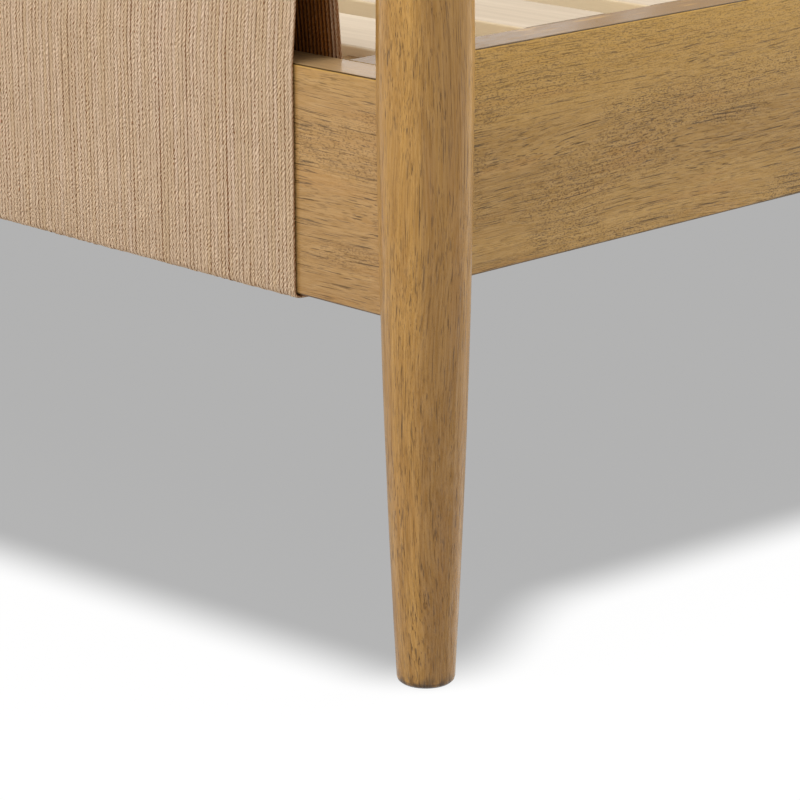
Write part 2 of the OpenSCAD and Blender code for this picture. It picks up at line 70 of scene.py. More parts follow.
post_low, post_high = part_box("foot_post_right")
corner = Vector(((post_low.x + post_high.x) / 2, (post_low.y + post_high.y) / 2, AIM_HEIGHT))
back = Vector((math.sin(AZIMUTH) * math.cos(ELEVATION),
               -math.cos(AZIMUTH) * math.cos(ELEVATION), math.sin(ELEVATION)))
right = Vector((math.cos(AZIMUTH), math.sin(AZIMUTH), 0))
turn = Matrix((right, back.cross(right), back)).transposed().to_4x4()

camera_data = bpy.data.cameras.new("camera")
camera_data.lens = LENS
camera_data.clip_end = 100
camera = bpy.data.objects.new("camera", camera_data)
camera.matrix_world = (Matrix.Translation(corner + back * DISTANCE - right * AIM_LEFT)
                       @ turn @ Matrix.Rotation(ROLL, 4, "Z"))
bpy.context.scene.collection.objects.link(camera)
bpy.context.scene.camera = camera
bpy.context.scene.view_settings.view_transform = "Standard"
print("the camera stands at", [round(v, 3) for v in camera.location])

# %% [markdown]
# ## Colours and nodes
# A hex colour is written in sRGB, as a picture shows it. Shaders work in linear light, so one
# function turns one into the other. A material is a tree of nodes, and one more function adds any
# node with its settings and its inputs, where an input is a plain value or another node's output.

# %% Helpers for materials
SOFT = {"interpolation_type": "SMOOTHSTEP"}  # settings of a Map Range that starts and ends gently
TIMES = {"operation": "MULTIPLY"}  # of a Math node
COLOURS = {"data_type": "RGBA"}  # of a Mix


def linear(hex_colour):
    """sRGB hex to linear RGBA: c / 12.92 up to 0.04045, and above it ((c + 0.055) / 1.055) ^ 2.4."""
    s = np.array([int(hex_colour[i:i + 2], 16) for i in (1, 3, 5)]) / 255
    rgb = np.where(s <= 0.04045, s / 12.92, ((s + 0.055) / 1.055) ** 2.4)
    return (*(float(c) for c in rgb), 1.0)


def add(tree, kind, settings=None, inputs=None):
    """Adds one node to a tree, sets its settings, and fills each input or links it to an output."""
    node = tree.nodes.new("ShaderNode" + kind)
    for name, value in (settings or {}).items():
        setattr(node, name, value)
    for key, value in (inputs or {}).items():
        if isinstance(value, bpy.types.NodeSocket):
            tree.links.new(value, node.inputs[key])
        else:
            node.inputs[key].default_value = value
    return node


def new_material(name):
    """An empty material, and its tree with nothing but the output node."""
    material = bpy.data.materials.new(name)
    material.use_nodes = True
    material.node_tree.nodes.clear()
    return material, material.node_tree


def show(tree, shader):
    """Links a shader to the tree's output."""
    add(tree, "OutputMaterial", {}, {"Surface": shader})


def dress(material, *names):
    """Gives CAD nodes a material in place of the plain one that they came with."""
    for name in names:
        data = nodes[name].data
        data.materials.clear()
        data.materials.append(material)


# %% [markdown]
# ## Studio
# The photograph has a white floor on which the bed throws one soft grey shadow. The floor here is
# white, and its picture of the shadow is a rectangle with a soft edge. Its sides bow outwards a
# little, and it is wider at the posts. Only camera and mirror rays see that paint, with a
# small share of real light and shadow under it, so that the posts stand on the floor. To light that
# bounces off it the floor is a plain pale grey, so that less comes up from below.

# %% The floor
FLOOR_R = 30.0  # metres, far past the edge of any view
SHADOW_GREY = "#B4B4B4"
SHADOW_HALF = (791 * MM, 1063 * MM)  # from the middle of the bed to the middle of the soft edge
SHADOW_BOW = (0.095, 0.080)  # how fast the sides run outwards from the corner
FLARE = 68 * MM  # how much wider the shadow is at the posts
FLARE_FROM, FLARE_TO = 840 * MM, 1010 * MM  # the stretch on which it widens, from the middle
SHADOW_SOFT = 42 * MM  # from the middle of the soft edge to plain white or plain grey
PAINTED = 0.95  # share of the floor's look that is paint, and not real light and shadow
FLOOR_GREY = "#CDCDCD"  # the floor as the light that bounces off it sees it


def disc(name, radius, sides=64):
    """A flat disc at z = 0: points r (cos t, sin t) round one middle point."""
    t = np.linspace(0, 2 * np.pi, sides, endpoint=False)
    rim = np.stack([radius * np.cos(t), radius * np.sin(t), 0 * t], 1)
    mesh = bpy.data.meshes.new(name)
    faces = [(0, i + 1, (i + 1) % sides + 1) for i in range(sides)]
    mesh.from_pydata(np.vstack([[0, 0, 0], rim]).tolist(), [], faces)
    piece = bpy.data.objects.new(name, mesh)
    bpy.context.scene.collection.objects.link(piece)
    return piece


def any_ray(tree, *names):
    """1 for a ray of any of these sorts and 0 for the rest: their sum, cut at 1."""
    ray = add(tree, "LightPath")
    total = 0.0
    for name in names:
        total = add(tree, "Math", {"operation": "ADD", "use_clamp": True},
                    {0: ray.outputs[name], 1: total}).outputs[0]
    return total


def bed_shadow(tree):
    """0 in the shadow and 1 outside it, by the distance d of each point p = (|x|, |y|).

    The corner is h, the sides bow by b, and the flare is f: d = |max(p + b (y, x) - f - h', 0)|,
    where h' = h + b (hy, hx), less the soft edge.
    """
    place = add(tree, "TexCoord").outputs["Object"]
    p = add(tree, "VectorMath", {"operation": "ABSOLUTE"}, {0: place}).outputs[0]
    part = add(tree, "SeparateXYZ", {}, {0: p})
    swapped = add(tree, "CombineXYZ", {}, {0: part.outputs[1], 1: part.outputs[0]}).outputs[0]
    flare = add(tree, "MapRange", SOFT,
                {"Value": part.outputs[1], "From Min": FLARE_FROM, "From Max": FLARE_TO, "To Max": FLARE})
    wide = add(tree, "CombineXYZ", {}, {0: flare.outputs[0]}).outputs[0]
    (hx, hy), (bx, by) = SHADOW_HALF, SHADOW_BOW
    bowed = add(tree, "VectorMath", {"operation": "MULTIPLY_ADD"}, {0: swapped, 1: (bx, by, 0), 2: p})
    less = add(tree, "VectorMath", {"operation": "SUBTRACT"}, {0: bowed.outputs[0], 1: wide})
    start = (hx + bx * hy - SHADOW_SOFT, hy + by * hx - SHADOW_SOFT, 0)
    past = add(tree, "VectorMath", {"operation": "SUBTRACT"}, {0: less.outputs[0], 1: start})
    outside = add(tree, "VectorMath", {"operation": "MAXIMUM"}, {0: past.outputs[0], 1: (0, 0, 0)})
    distance = add(tree, "VectorMath", {"operation": "LENGTH"}, {0: outside.outputs[0]})
    return add(tree, "MapRange", SOFT,
               {"Value": distance.outputs["Value"], "From Max": 2 * SHADOW_SOFT}).outputs[0]


def floor_paint():
    """The shadow's picture for camera and mirror rays, and FLOOR_GREY for light."""
    material, tree = new_material("white_studio_floor")
    colour = add(tree, "Mix", COLOURS,
                 {"Factor": bed_shadow(tree), "A": linear(SHADOW_GREY), "B": (1, 1, 1, 1)})
    paint = add(tree, "Emission", {}, {"Color": colour.outputs["Result"]})
    lit = add(tree, "BsdfDiffuse", {}, {"Color": colour.outputs["Result"]})
    seen = add(tree, "MixShader", {}, {0: PAINTED, 1: lit.outputs[0], 2: paint.outputs[0]})
    plain = add(tree, "BsdfDiffuse", {}, {"Color": linear(FLOOR_GREY)})
    eye = any_ray(tree, "Is Camera Ray", "Is Glossy Ray", "Is Transmission Ray")
    both = add(tree, "MixShader", {}, {0: eye, 1: plain.outputs[0], 2: seen.outputs[0]})
    show(tree, both.outputs[0])
    return material


floor = disc("floor", FLOOR_R)
floor.data.materials.append(floor_paint())
print("the floor's shadow in metres:", [round(2 * half, 3) for half in SHADOW_HALF])

# %% [markdown]
# ## Light
# Soft light comes from everywhere, with a wide lamp high over the foot end. The faces that look
# towards the foot are therefore lighter than the sides, and the tops are the lightest. A second
# wide lamp, high over the head end, lights the shade that the foot end throws on the first slats.
# The world is dimmer for light than for mirror rays: satin lacquer shows the white studio as a
# pale sheen.

# %% The world and the lamps
WORLD_LIGHT = 0.78  # strength of the white world for light
FOOT_LAMP = (Vector((0.05, -0.62, 0.78)), 90)  # direction from the bed to the lamp, and watts
HEAD_LAMP = (Vector((0.28, 0.42, 0.86)), 86)
LAMP_FAR, LAMP_SIZE = 5.0, 3.2  # metres


def studio_world():
    """A white world of strength WORLD_LIGHT for light, and 1 for camera and mirror rays."""
    world = bpy.data.worlds.new("white_studio")
    world.use_nodes = True
    tree = world.node_tree
    tree.nodes.clear()
    light = add(tree, "Background", {}, {"Color": (1, 1, 1, 1), "Strength": WORLD_LIGHT})
    seen = add(tree, "Background", {}, {"Color": (1, 1, 1, 1), "Strength": 1.0})
    eye = any_ray(tree, "Is Camera Ray", "Is Glossy Ray", "Is Transmission Ray")
    both = add(tree, "MixShader", {}, {0: eye, 1: light.outputs[0], 2: seen.outputs[0]})
    add(tree, "OutputWorld", {}, {"Surface": both.outputs[0]})
    bpy.context.scene.world = world


def lamp(name, way, watts):
    """A square lamp LAMP_FAR from the bed's middle, facing it."""
    data = bpy.data.lights.new(name, "AREA")
    data.size = LAMP_SIZE
    data.energy = watts
    piece = bpy.data.objects.new(name, data)
    piece.location = way.normalized() * LAMP_FAR
    piece.rotation_euler = way.to_track_quat("Z", "Y").to_euler()
    bpy.context.scene.collection.objects.link(piece)
    return piece


studio_world()
lamps = [lamp("foot_lamp", *FOOT_LAMP), lamp("head_lamp", *HEAD_LAMP)]
print("lamps:", [(piece.name, piece.data.energy) for piece in lamps])

# %% [markdown]
# ## Stained hardwood
# The posts and rails are rubberwood, planed or turned, stained honey brown and given a satin
# lacquer. The eye sees four things: soft changes of tone a hand's breadth apart, fine fibres, long
# dark lines along the grain, and above all pores, the cut vessels of the wood, which hold the
# stain as short dark dashes and crowd together in some places. Each is a pattern stretched along
# the grain, its size given in millimetres. A noise pattern has about one feature in each unit, so
# dividing a place in mm by (length, width, width) makes features of that length and width. A pore
# is about 0.2 mm wide, which is too fine to show, so pores are drawn some three times as wide.

# %% Patterns along the grain
GRAIN_TO_X = {"X": (0, 0, 0), "Y": (0, 0, -math.pi / 2), "Z": (0, math.pi / 2, 0)}
WAVE_LENGTH, WAVE_WIDTH = 420, 80  # mm, the slow waves of the grain
WAVE_SWAY = 36  # mm, from side to side


def cell(length, width):
    """Scale of a pattern whose features are length mm along the grain and width mm across it."""
    return (1 / length, 1 / width, 1 / width)


def grain_place(tree, along):
    """Places in mm with x along the grain, shifted slowly sideways so that the grain runs in waves."""
    place = add(tree, "TexCoord").outputs["Object"]
    straight = add(tree, "Mapping", {}, {
        "Vector": place, "Rotation": GRAIN_TO_X[along], "Scale": (1 / MM, 1 / MM, 1 / MM)}).outputs[0]
    slow = add(tree, "Mapping", {}, {"Vector": straight, "Scale": cell(WAVE_LENGTH, WAVE_WIDTH)})
    drift = add(tree, "TexNoise", {}, {"Vector": slow.outputs[0], "Scale": 1, "Detail": 2})
    return add(tree, "VectorMath", {"operation": "MULTIPLY_ADD"},
               {0: drift.outputs["Color"], 1: (0, WAVE_SWAY, WAVE_SWAY), 2: straight}).outputs[0]


def grain(tree, place, length, width, low, high, detail=2):
    """Noise stretched along the grain, as 0 below low and 1 above high."""
    stretched = add(tree, "Mapping", {}, {"Vector": place, "Scale": cell(length, width)})
    noise = add(tree, "TexNoise", {}, {"Vector": stretched.outputs[0], "Scale": 1, "Detail": detail})
    return add(tree, "MapRange", SOFT,
               {"Value": noise.outputs[0], "From Min": low, "From Max": high}).outputs[0]


def weighed(tree, *parts):
    """The sum of patterns, each times its weight."""
    total = 0.0
    for pattern, weight in parts:
        total = add(tree, "Math", {"operation": "MULTIPLY_ADD"}, {0: pattern, 1: weight, 2: total}).outputs[0]
    return total


def stain_over(tree, under, mask, strength, hex_colour):
    """Lays a stain over a colour, as strong as a mask from 0 to 1 times strength."""
    amount = weighed(tree, (mask, strength))
    return add(tree, "Mix", COLOURS,
               {"Factor": amount, "A": under, "B": linear(hex_colour)}).outputs["Result"]


def facing(tree, axis, low, high):
    """0 where the normal's part along an axis is low and 1 where it is high, as on tops or edges."""
    normal = add(tree, "NewGeometry").outputs["True Normal"]
    part = add(tree, "VectorMath", {"operation": "DOT_PRODUCT"}, {0: normal, 1: axis})
    return add(tree, "MapRange", SOFT,
               {"Value": part.outputs["Value"], "From Min": low, "From Max": high}).outputs[0]


# %% [markdown]
# A board has more than its grain. The stain dries dark in a thin line where the top face turns
# over its eased edge. Below that line the eased edge, which tilts up towards the light, is painted
# lighter as a painted highlight, and a faint painted glow runs down the side from it. The top face
# has a tone of its own, which on the end rails is painted lighter, as painted light against the
# winding's shade. The lower edge, which faces down, is painted dark as painted shade. These marks
# follow the height, or the normal, whose upward part is 1 on top and 0 on a side. A post is painted
# darker as painted shade on its side away from the light, towards the floor and on its foot edge
# that faces down, and its foot is scuffed dark.

# %% Marks of the boards and posts
# SHADE is painted shade on the posts. LINE draws the grain's dark lines and also paints shade on edges that
# face down.
PORE, LINE, WARM, SHADE = "#472C0C", "#241405", "#B68040", "#6E4A20"
# The second colour is the end rails' top, painted lighter against the winding's shade. The third is painted
# light: a highlight on the eased edges, a glow down the side and a lighter band near the side rails' top.
TOP_FACE, END_TOP_LIT, PAINTED_GLOW = "#A38053", "#CDA878", "#CFA252"
UP, DOWN = (0, 0, 1), (0, 0, -1)
SHADED_SIDE = (0.94, -0.34, 0)  # the side of a post away from the light, painted darker as painted shade
SCUFF = 12 * MM  # height of the scuffed foot of a post
LOWER_SHADE_FROM = 420 * MM  # height below which a post is painted darker towards the floor, as painted shade
RAIL_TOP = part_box("side_rail_right")[1].z
GLOW = 22 * MM  # how far below that top the painted glow fades into the side
CROWDED = 90 * MM  # how far below it a side rail is painted lighter, as painted light, and its pores crowd together


def below_top(tree, depth):
    """1 at the height of the rails' top and 0 from depth below it."""
    z = add(tree, "SeparateXYZ", {}, {0: add(tree, "TexCoord").outputs["Object"]}).outputs[2]
    return add(tree, "MapRange", SOFT,
               {"Value": z, "From Min": RAIL_TOP - depth, "From Max": RAIL_TOP}).outputs[0]


def edge_marks(tree, place, colour, top_face=TOP_FACE):
    """The top, the painted highlight and glow of the eased edge, the dark line between them, and the
    painted shade on the lower edge of a board.
    """
    patchy = grain(tree, place, 40, 8, 0.20, 0.45)
    top = facing(tree, UP, 0.90, 0.98)
    # Painted light: a faint glow down the side below the eased edge.
    colour = stain_over(tree, colour, below_top(tree, GLOW), 0.20, PAINTED_GLOW)
    bend = facing(tree, UP, 0.50, 0.62)
    line = add(tree, "Math", TIMES, {0: bend, 1: patchy}).outputs[0]
    # Painted highlight: the eased edge, which tilts up towards the light, is lighter.
    colour = stain_over(tree, colour, facing(tree, UP, 0.02, 0.30), 0.55, PAINTED_GLOW)
    colour = stain_over(tree, colour, line, 0.90, LINE)
    colour = stain_over(tree, colour, top, 0.60, top_face)
    # Painted shade on the lower edge, which faces down.
    return stain_over(tree, colour, facing(tree, DOWN, 0.10, 0.45), 0.65, LINE)


def end_marks(tree, place, colour):
    """The marks of an end rail, whose top face is painted lighter than a side rail's, as painted
    light against the winding's shade.
    """
    return edge_marks(tree, place, colour, END_TOP_LIT)


def post_marks(tree, place, colour):
    """The painted shade on a post's side away from the light, towards the floor and on its
    foot edge that faces down, and the scuffs on its lowest SCUFF of height.
    """
    z = add(tree, "SeparateXYZ", {}, {0: add(tree, "TexCoord").outputs["Object"]}).outputs[2]
    low = add(tree, "MapRange", {}, {"Value": z, "From Min": SCUFF, "From Max": 1 * MM}).outputs[0]
    worn = grain(tree, place, 7, 6, 0.36, 0.60)
    scuffs = add(tree, "Math", TIMES, {0: low, 1: worn}).outputs[0]
    lower_shade = add(tree, "MapRange", {}, {"Value": z, "From Min": LOWER_SHADE_FROM, "From Max": 0.0}).outputs[0]
    # Painted shade on the side of the post away from the light.
    colour = stain_over(tree, colour, facing(tree, SHADED_SIDE, 0.70, 0.97), 0.46, SHADE)
    # Painted shade: darker towards the floor.
    colour = stain_over(tree, colour, lower_shade, 0.16, SHADE)
    colour = stain_over(tree, colour, scuffs, 0.9, LINE)
    # Painted shade on the foot edge, which faces down.
    return stain_over(tree, colour, facing(tree, DOWN, 0.10, 0.50), 0.75, LINE)


# %% [markdown]
# The material is laid on in order: the wood's own tones, the stain in its pores and lines, the
# marks of its edges with their painted light and shade, and last the lacquer, which is the
# shader's coat. Near their top the side rails are full of pores, and painted lighter there as
# painted light. The lacquer lies in streaks along the fibres and is rubbed off the eased upper
# edges, which would shine as pale lines under it.

# %% Stained wood
def stained_wood(name, along, light, dark, dots, dashes, pore, fibres, coat, marks, crowded=0.0):
    """Rubberwood, stained honey brown and lacquered satin, with its grain along one axis.

    dots is the strength of the short pores, which lie where a slow noise is high. crowded, from 0
    to 1, brings them near the rails' top too, with a lighter tone there that is painted light.
    dashes is the strength of the longer pores, and pore their (length mm, width mm, threshold),
    where a higher threshold makes them rarer. fibres is the length of a fibre in mm, and coat sets
    the weight of the lacquer: coat (0.55 + 0.9 fibre - 0.9 edge).
    """
    material, tree = new_material(name)
    place = grain_place(tree, along)
    tone = grain(tree, place, 330, 62, 0.36, 0.64)
    band = grain(tree, place, 120, 5, 0.34, 0.66)
    fibre = grain(tree, place, fibres, 0.9, 0.30, 0.70, 3)
    near_top = below_top(tree, CROWDED)
    crowd = add(tree, "Math", {"operation": "MAXIMUM"},
                {0: grain(tree, place, 150, 45, 0.44, 0.58), 1: weighed(tree, (near_top, 0.80 * crowded))})
    dotted = add(tree, "Math", TIMES,
                 {0: grain(tree, place, 2.4, 1.0, 0.50, 0.64), 1: crowd.outputs[0]}).outputs[0]
    striped = weighed(tree, (grain(tree, place, 260, 11, 0.42, 0.60), 0.65), (1.0, 0.35))
    dashed = add(tree, "Math", TIMES, {0: grain(tree, place, *pore, pore[2] + 0.09), 1: striped}).outputs[0]
    thread = grain(tree, place, 80, 0.8, 0.56, 0.66)
    broken = grain(tree, place, 14, 2.0, 0.34, 0.54)
    lines = add(tree, "Math", TIMES, {0: thread, 1: broken}).outputs[0]

    mixed = weighed(tree, (tone, 0.30), (band, 0.30), (fibre, 0.40))
    colour = add(tree, "Mix", COLOURS,
                 {"Factor": mixed, "A": linear(dark), "B": linear(light)}).outputs["Result"]
    colour = stain_over(tree, colour, grain(tree, place, 150, 14, 0.52, 0.70), 0.22, WARM)
    # Painted light: the side rails are lighter near their top, where their pores also crowd.
    colour = stain_over(tree, colour, near_top, 0.62 * crowded, PAINTED_GLOW)
    colour = stain_over(tree, colour, dotted, dots, PORE)
    colour = stain_over(tree, colour, dashed, dashes, PORE)
    colour = stain_over(tree, colour, lines, 0.65, LINE)
    colour = marks(tree, place, colour)
    cut = add(tree, "Math", {"operation": "MAXIMUM"}, {0: dashed, 1: lines}).outputs[0]
    height = weighed(tree, (cut, -1.0), (dotted, -0.7), (fibre, 0.2))
    bump = add(tree, "Bump", {}, {"Height": height, "Distance": 0.1 * MM, "Strength": 0.5})
    rough = add(tree, "MapRange", {}, {"Value": fibre, "To Min": 0.48, "To Max": 0.40})
    edge = add(tree, "Math", {"operation": "SUBTRACT"},
               {0: facing(tree, UP, 0.20, 0.45), 1: facing(tree, UP, 0.90, 0.98)}).outputs[0]
    lacquer = weighed(tree, (fibre, 0.9 * coat), (1.0, 0.55 * coat), (edge, -0.9 * coat))
    shader = add(tree, "BsdfPrincipled", {}, {
        "Base Color": colour, "Roughness": rough.outputs[0], "IOR": 1.5, "Specular IOR Level": 0.1,
        "Coat Weight": lacquer, "Coat Roughness": 0.18, "Normal": bump.outputs[0]})
    show(tree, shader.outputs[0])
    return material


# %% [markdown]
# Four such woods dress the bed. They differ in the axis of their grain and a little in tone. The
# posts have few but long pores, and a thicker coat.

# %% The stained pieces
RAIL = ("#C29A5A", "#A17B42")  # the light and the dark tone
END = ("#C69C62", "#A57D49")
POST = ("#D2A052", "#A5783A")
FEW_PORES, MANY_PORES = (15, 0.46, 0.60), (9, 0.60, 0.55)  # length and width in mm, threshold
turned_post = stained_wood("stained_rubberwood_turned", "Z", *POST,
                           0.10, 1.0, FEW_PORES, 45, 0.62, post_marks)
end_board = stained_wood("stained_rubberwood_end_rail", "X", *END,
                         0.42, 0.32, MANY_PORES, 16, 0.50, end_marks)
side_board = stained_wood("stained_rubberwood_side_rail", "Y", *RAIL,
                          0.52, 0.42, MANY_PORES, 16, 0.46, edge_marks, 1.0)
upright_block = stained_wood("stained_rubberwood_block", "Z", *RAIL,
                             0.40, 0.40, MANY_PORES, 16, 0.50, edge_marks)

dress(turned_post, "foot_post_left", "foot_post_right", "head_post_left", "head_post_right")
dress(end_board, "foot_bottom_rail", "foot_top_rail", "head_bottom_rail", "head_top_rail")
dress(side_board, "side_rail_left", "side_rail_right")
dress(upright_block, "corner_block_foot_left", "corner_block_foot_right", "corner_block_head_left",
      "corner_block_head_right", "centre_leg_foot", "centre_leg_head")
print("stained pieces:", sum("stained" in piece.data.materials[0].name for piece in nodes.values()))

# %% [markdown]
# ## Bare softwood and beech
# The slats, the ledgers under them and the centre beam are planed pine, left bare and pale. The
# first slat is painted paler, as painted light against the shade that the foot end throws on it.
# The dowels are beech. Pine shows its year rings as soft darker lines a few millimetres apart, and
# a small knot here and there.

# %% Pine and beech
# The third pine colour is painted light: the slats' faces that look along Y are paler.
PINE_LIGHT, PINE_DARK, PINE_EDGE_LIT = "#CCBAA2", "#B5A38A", "#EFDBB4"
# The first slat's colours, paler as painted light against the shade that the foot end throws on it.
LIT_SLAT_LIGHT, LIT_SLAT_DARK, LIT_SLAT_EDGE = "#DCCBB2", "#C6B49A", "#FFF4D8"
BEECH_LIGHT, BEECH_DARK = "#CDAA7C", "#B48D60"
KNOT = "#7A4E2A"
KNOT_CELL = (130, 60)  # mm along and across the grain, a stretch that may have one knot
KNOT_SIZE = 0.10  # radius of a knot as a share of that stretch
PINE_RING, BEECH_RING = 5.0, 1.5  # mm between two lines
KNOTTY = 0.25  # share of the stretches that have a knot


def scattered_knots(tree, place, share):
    """Knots: the middle of each stretched Voronoi cell whose random red is under share."""
    stretched = add(tree, "Mapping", {}, {"Vector": place, "Scale": cell(*KNOT_CELL)})
    cells = add(tree, "TexVoronoi", {}, {"Vector": stretched.outputs[0], "Scale": 1})
    spot = add(tree, "MapRange", SOFT,
               {"Value": cells.outputs["Distance"], "From Min": KNOT_SIZE, "From Max": 0.5 * KNOT_SIZE})
    colour = add(tree, "SeparateColor", {}, {"Color": cells.outputs["Color"]})
    chosen = add(tree, "Math", {"operation": "LESS_THAN"}, {0: colour.outputs["Red"], 1: share})
    varied = add(tree, "MapRange", {}, {"Value": colour.outputs["Green"], "To Min": 0.3}).outputs[0]
    strength = add(tree, "Math", TIMES, {0: varied, 1: chosen.outputs[0]}).outputs[0]
    return add(tree, "Math", TIMES, {0: strength, 1: spot.outputs[0]}).outputs[0]


def bare_wood(name, along, light, dark, edge, ring, knots):
    """Planed bare wood: lines ring mm apart along the grain, faint fibres and a few small knots.

    The sawn faces, which look along Y on a slat, take the colour edge. On the slats it is paler, as
    painted light against the shade between them.
    """
    material, tree = new_material(name)
    place = grain_place(tree, along)
    year = grain(tree, place, 260, ring, 0.40, 0.66)
    fibre = grain(tree, place, 34, 0.9, 0.30, 0.70)
    mixed = weighed(tree, (grain(tree, place, 500, 60, 0.35, 0.68), 0.45), (year, 0.28), (fibre, 0.17))
    colour = add(tree, "Mix", COLOURS,
                 {"Factor": mixed, "A": linear(light), "B": linear(dark)}).outputs["Result"]
    # Painted light on a slat: its faces that look along Y are paler.
    for way in ((0, 1, 0), (0, -1, 0)):
        colour = stain_over(tree, colour, facing(tree, way, 0.4, 0.9), 0.75, edge)
    colour = stain_over(tree, colour, scattered_knots(tree, place, knots), 0.7, KNOT)
    bump = add(tree, "Bump", {}, {"Height": fibre, "Distance": 0.05 * MM, "Strength": 0.6})
    shader = add(tree, "BsdfPrincipled", {}, {
        "Base Color": colour, "Roughness": 0.62, "IOR": 1.5, "Normal": bump.outputs[0]})
    show(tree, shader.outputs[0])
    return material


pine_slat = bare_wood("planed_pine_slat", "X", PINE_LIGHT, PINE_DARK, PINE_EDGE_LIT, PINE_RING, KNOTTY)
pine_length = bare_wood("planed_pine_beam", "Y", PINE_LIGHT, PINE_DARK, PINE_DARK, PINE_RING, KNOTTY)
beech = bare_wood("fluted_beech_dowel", "X", BEECH_LIGHT, BEECH_DARK, BEECH_DARK, BEECH_RING, 0.0)
pine_sapwood = bare_wood("planed_pine_sapwood_slat", "X", LIT_SLAT_LIGHT, LIT_SLAT_DARK, LIT_SLAT_EDGE, PINE_RING, 0.0)
slats = sorted(name for name in nodes if name.startswith("slat_") and name[5:].isdigit())
# Painted light: the first slat is paler.
dress(pine_sapwood, slats[0])
dress(pine_slat, *slats[1:])
dress(pine_length, "slat_ledger_left", "slat_ledger_right", "centre_beam")
dress(beech, "foot_dowels", "head_dowels")
print("slats:", len(slats))

# %% [markdown]
# ## Steel and plastic
# Plates, hangers, screws and bolts are mild steel with a bright zinc plating, which shines softly
# and is a little cloudy. The glides under the posts and legs are moulded polyethylene.

# %% Zinc and polyethylene
ZINC_LIGHT, ZINC_DARK = "#B9BBB8", "#A7A79F"
GLIDE_LIGHT, GLIDE_DARK = "#4A4846", "#3A3836"
CLOUD = 6 * MM  # width of the cloudy patches of the plating
MOULD_GRIT = 0.4 * MM


def cloudy(tree, width, dark, light):
    """A noise with patches of one width, and the colour between dark and light that follows it."""
    place = add(tree, "TexCoord").outputs["Object"]
    cloud = add(tree, "TexNoise", {}, {"Vector": place, "Scale": 1 / width, "Detail": 3}).outputs[0]
    colour = add(tree, "Mix", COLOURS, {"Factor": cloud, "A": linear(dark), "B": linear(light)})
    return cloud, colour.outputs["Result"]


def zinc_plated_steel():
    """Metal with a cloudy shine: roughness from 0.28 to 0.45."""
    material, tree = new_material("zinc_plated_steel")
    cloud, tint = cloudy(tree, CLOUD, ZINC_DARK, ZINC_LIGHT)
    rough = add(tree, "MapRange", {}, {
        "Value": cloud, "From Min": 0.3, "From Max": 0.7, "To Min": 0.28, "To Max": 0.45})
    shader = add(tree, "BsdfPrincipled", {}, {
        "Base Color": tint, "Metallic": 1.0, "Roughness": rough.outputs[0]})
    show(tree, shader.outputs[0])
    return material


def moulded_polyethylene():
    """Dark grey plastic with the fine grain of its mould."""
    material, tree = new_material("moulded_polyethylene")
    grit, tint = cloudy(tree, MOULD_GRIT, GLIDE_DARK, GLIDE_LIGHT)
    bump = add(tree, "Bump", {}, {"Height": grit, "Distance": 0.03 * MM})
    shader = add(tree, "BsdfPrincipled", {}, {
        "Base Color": tint, "Roughness": 0.5, "IOR": 1.51, "Normal": bump.outputs[0]})
    show(tree, shader.outputs[0])
    return material


zinc, plastic = zinc_plated_steel(), moulded_polyethylene()
dress(zinc, "hook_plates", "hook_plate_screws", "receiver_plates", "receiver_screws",
      "ledger_screws", "block_screws", "slat_screws", "strap_screws", "beam_hanger_foot",
      "beam_hanger_head", "hanger_screws", "leg_bolts")
dress(plastic, "leg_glides", "post_glides")
print("finishes:", zinc.name, "and", plastic.name)

# %% [markdown]
# ## Surfaces from grids
# A wound cord or a strap is a grid of points: rows run along the piece and columns go round it.
# Joining each point to its neighbours gives four-sided faces, all at once.

# %% A mesh from a grid of points
def tube_mesh(name, grid, along, around, flip):
    """A closed tube from grid[row, column]: face (i, j) joins rows i and i + 1, columns j and j + 1.

    The ends are closed by one face each. along has a number for each row and around one for each
    column and one more, and they become the UV map called lay.
    """
    rows, columns, _ = grid.shape
    i, j = np.meshgrid(np.arange(rows - 1), np.arange(columns), indexing="ij")
    k = (j + 1) % columns
    quads = np.stack([i * columns + j, i * columns + k, (i + 1) * columns + k, (i + 1) * columns + j], -1)
    u = np.stack([along[i], along[i], along[i + 1], along[i + 1]], -1)
    v = np.stack([around[j], around[j + 1], around[j + 1], around[j]], -1)
    if flip:
        quads, u, v = quads[..., ::-1], u[..., ::-1], v[..., ::-1]
    first, last = np.arange(columns), (rows - 1) * columns + np.arange(columns)
    caps = [first if flip else first[::-1], last[::-1] if flip else last]
    faces = quads.reshape(-1, 4).tolist() + [c.tolist() for c in caps]
    mesh = bpy.data.meshes.new(name)
    mesh.from_pydata(grid.reshape(-1, 3), [], faces)
    uv = np.zeros((len(mesh.loops), 2), np.float32)
    uv[:quads.size] = np.stack([u, v], -1).reshape(-1, 2)
    mesh.uv_layers.new(name="lay").data.foreach_set("uv", uv.ravel())
    mesh.polygons.foreach_set("use_smooth", np.ones(len(mesh.polygons), bool))
    mesh.validate()
    piece = bpy.data.objects.new(name, mesh)
    bpy.context.scene.collection.objects.link(piece)
    print(name, "has", sum(len(p.vertices) - 2 for p in mesh.polygons), "triangles")
    return piece


# %% [markdown]
# ## The winding
# At each end one cord goes up the inner side, over the top rail, down the outer side and under the
# bottom rail, about four hundred times. The top rail is thinner, so the two layers lean towards
# each other. A turn is a short list of places round the rails, from arcs and straight stretches.
# All turns use the same list, and only the place along the rail differs. The turns don't stand
# quite square to the rails: their inner side lies almost two cords nearer one end than their
# outer side. Under the bottom rail the cord steps back and over to the next turn.

